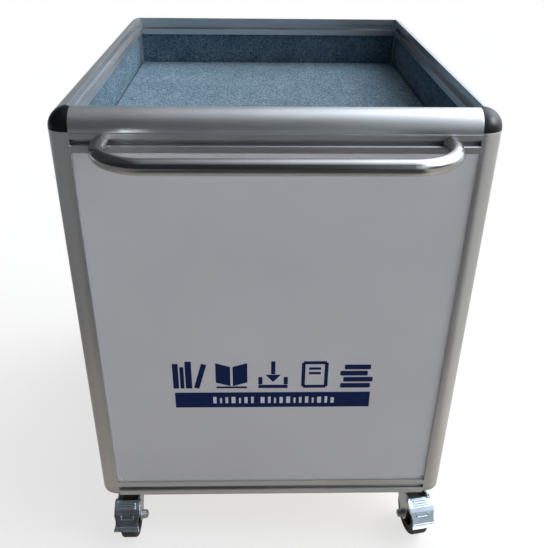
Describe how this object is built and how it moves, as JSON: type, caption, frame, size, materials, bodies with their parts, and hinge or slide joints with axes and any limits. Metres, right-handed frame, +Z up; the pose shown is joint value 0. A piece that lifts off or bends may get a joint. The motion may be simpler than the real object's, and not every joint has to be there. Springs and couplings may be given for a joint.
{
  "type": "book return bin",
  "caption": "Wheeled book return bin: extruded frame with flat panels, push handle, felt lining, sprung book platform and swivel castors, the front ones braked.",
  "frame": {"origin": "on the floor, under the middle of the whole footprint with the handle included", "axes": "+Z up, -Y out of the front where the push handle is, +X to the right seen from the front"},
  "size_m": [0.56, 0.75, 0.746],
  "materials": {
    "frame_aluminium": "satin anodised extrusion",
    "cap_black": "polished black moulding",
    "panel_white": "smooth laminate with a soft sheen",
    "wall_felt": "dark speckled needle felt",
    "floor_felt": "speckled needle felt",
    "handle_steel": "satin stainless tube",
    "fixing_steel": "bright zinc",
    "castor_chrome": "bright chrome plate",
    "wheel_black": "black moulding",
    "tyre_rubber": "dark grey rubber",
    "board_wood": "sealed plywood",
    "guide_nylon": "natural nylon",
    "cup_black": "black moulding",
    "spring_steel": "oiled spring steel"
  },
  "bodies": {
    "frame": {"top_rail_front": "frame_aluminium", "top_rail_right": "frame_aluminium", "top_rail_rear": "frame_aluminium", "top_rail_left": "frame_aluminium", "bottom_rail_front": "frame_aluminium", "bottom_rail_right": "frame_aluminium", "bottom_rail_rear": "frame_aluminium", "bottom_rail_left": "frame_aluminium", "corner_post_front_left": "frame_aluminium", "corner_post_front_right": "frame_aluminium", "corner_post_rear_left": "frame_aluminium", "corner_post_rear_right": "frame_aluminium", "front_corner_caps": "cap_black", "rear_corner_caps": "frame_aluminium", "post_feet": "frame_aluminium", "panel_front": "panel_white", "panel_right": "panel_white", "panel_rear": "panel_white", "panel_left": "panel_white", "wall_felt_front": "wall_felt", "wall_felt_right": "wall_felt", "wall_felt_rear": "wall_felt", "wall_felt_left": "wall_felt", "panel_screws": "fixing_steel", "base_board": "board_wood", "push_handle": "handle_steel", "handle_fixings": "fixing_steel", "platform_stops": "fixing_steel", "spring_cups_lower": "cup_black", "spring_front_left": "spring_steel", "spring_front_right": "spring_steel", "spring_rear_left": "spring_steel", "spring_rear_right": "spring_steel", "castor_plate_front_left": "castor_chrome", "castor_plate_front_right": "castor_chrome", "castor_plate_rear_left": "castor_chrome", "castor_plate_rear_right": "castor_chrome", "castor_bolts": "fixing_steel"},
    "platform": {"platform_board": "board_wood", "platform_felt": "floor_felt", "platform_guides": "guide_nylon", "spring_cups_upper": "cup_black"},
    "castor_front_left": {"castor_yoke_front_left": "castor_chrome", "castor_axle_front_left": "fixing_steel"},
    "wheel_front_left": {"wheel_hub_front_left": "wheel_black", "wheel_tyre_front_left": "tyre_rubber"},
    "pedal_front_left": {"brake_pedal_front_left": "castor_chrome"},
    "castor_front_right": {"castor_yoke_front_right": "castor_chrome", "castor_axle_front_right": "fixing_steel"},
    "wheel_front_right": {"wheel_hub_front_right": "wheel_black", "wheel_tyre_front_right": "tyre_rubber"},
    "pedal_front_right": {"brake_pedal_front_right": "castor_chrome"},
    "castor_rear_left": {"castor_yoke_rear_left": "castor_chrome", "castor_axle_rear_left": "fixing_steel"},
    "wheel_rear_left": {"wheel_hub_rear_left": "wheel_black", "wheel_tyre_rear_left": "tyre_rubber"},
    "castor_rear_right": {"castor_yoke_rear_right": "castor_chrome", "castor_axle_rear_right": "fixing_steel"},
    "wheel_rear_right": {"wheel_hub_rear_right": "wheel_black", "wheel_tyre_rear_right": "tyre_rubber"}
  },
  "joints": [
    {"name": "platform_slide", "type": "slide", "parent": "frame", "child": "platform", "axis": [0, 0, 1], "range_m": [-0.36, 0], "stiffness_N_per_m": 1780, "springref_m": 0.06, "deforming": ["spring_front_left", "spring_front_right", "spring_rear_left", "spring_rear_right"]},
    {"name": "castor_swivel_front_left", "type": "hinge", "parent": "frame", "child": "castor_front_left", "pos_m": [-0.2399, -0.229, 0.096], "axis": [0, 0, 1], "continuous": true},
    {"name": "wheel_spin_front_left", "type": "hinge", "parent": "castor_front_left", "child": "wheel_front_left", "pos_m": [-0.2399, -0.267, 0.0375], "axis": [1, 0, 0], "continuous": true},
    {"name": "pedal_hinge_front_left", "type": "hinge", "parent": "castor_front_left", "child": "pedal_front_left", "pos_m": [-0.2399, -0.278, 0.079], "axis": [1, 0, 0], "range_deg": [0, 10]},
    {"name": "castor_swivel_front_right", "type": "hinge", "parent": "frame", "child": "castor_front_right", "pos_m": [0.2399, -0.229, 0.096], "axis": [0, 0, 1], "continuous": true},
    {"name": "wheel_spin_front_right", "type": "hinge", "parent": "castor_front_right", "child": "wheel_front_right", "pos_m": [0.2465, -0.26642, 0.0375], "axis": [0.9848, 0.1736, 0], "continuous": true},
    {"name": "pedal_hinge_front_right", "type": "hinge", "parent": "castor_front_right", "child": "pedal_front_right", "pos_m": [0.24841, -0.27726, 0.079], "axis": [0.9848, 0.1736, 0], "range_deg": [0, 10]},
    {"name": "castor_swivel_rear_left", "type": "hinge", "parent": "frame", "child": "castor_rear_left", "pos_m": [-0.2399, 0.319, 0.096], "axis": [0, 0, 1], "continuous": true},
    {"name": "wheel_spin_rear_left", "type": "hinge", "parent": "castor_rear_left", "child": "wheel_rear_left", "pos_m": [-0.2399, 0.281, 0.0375], "axis": [1, 0, 0], "continuous": true},
    {"name": "castor_swivel_rear_right", "type": "hinge", "parent": "frame", "child": "castor_rear_right", "pos_m": [0.2399, 0.319, 0.096], "axis": [0, 0, 1], "continuous": true},
    {"name": "wheel_spin_rear_right", "type": "hinge", "parent": "castor_rear_right", "child": "wheel_rear_right", "pos_m": [0.2399, 0.281, 0.0375], "axis": [1, 0, 0], "continuous": true}
  ]
}
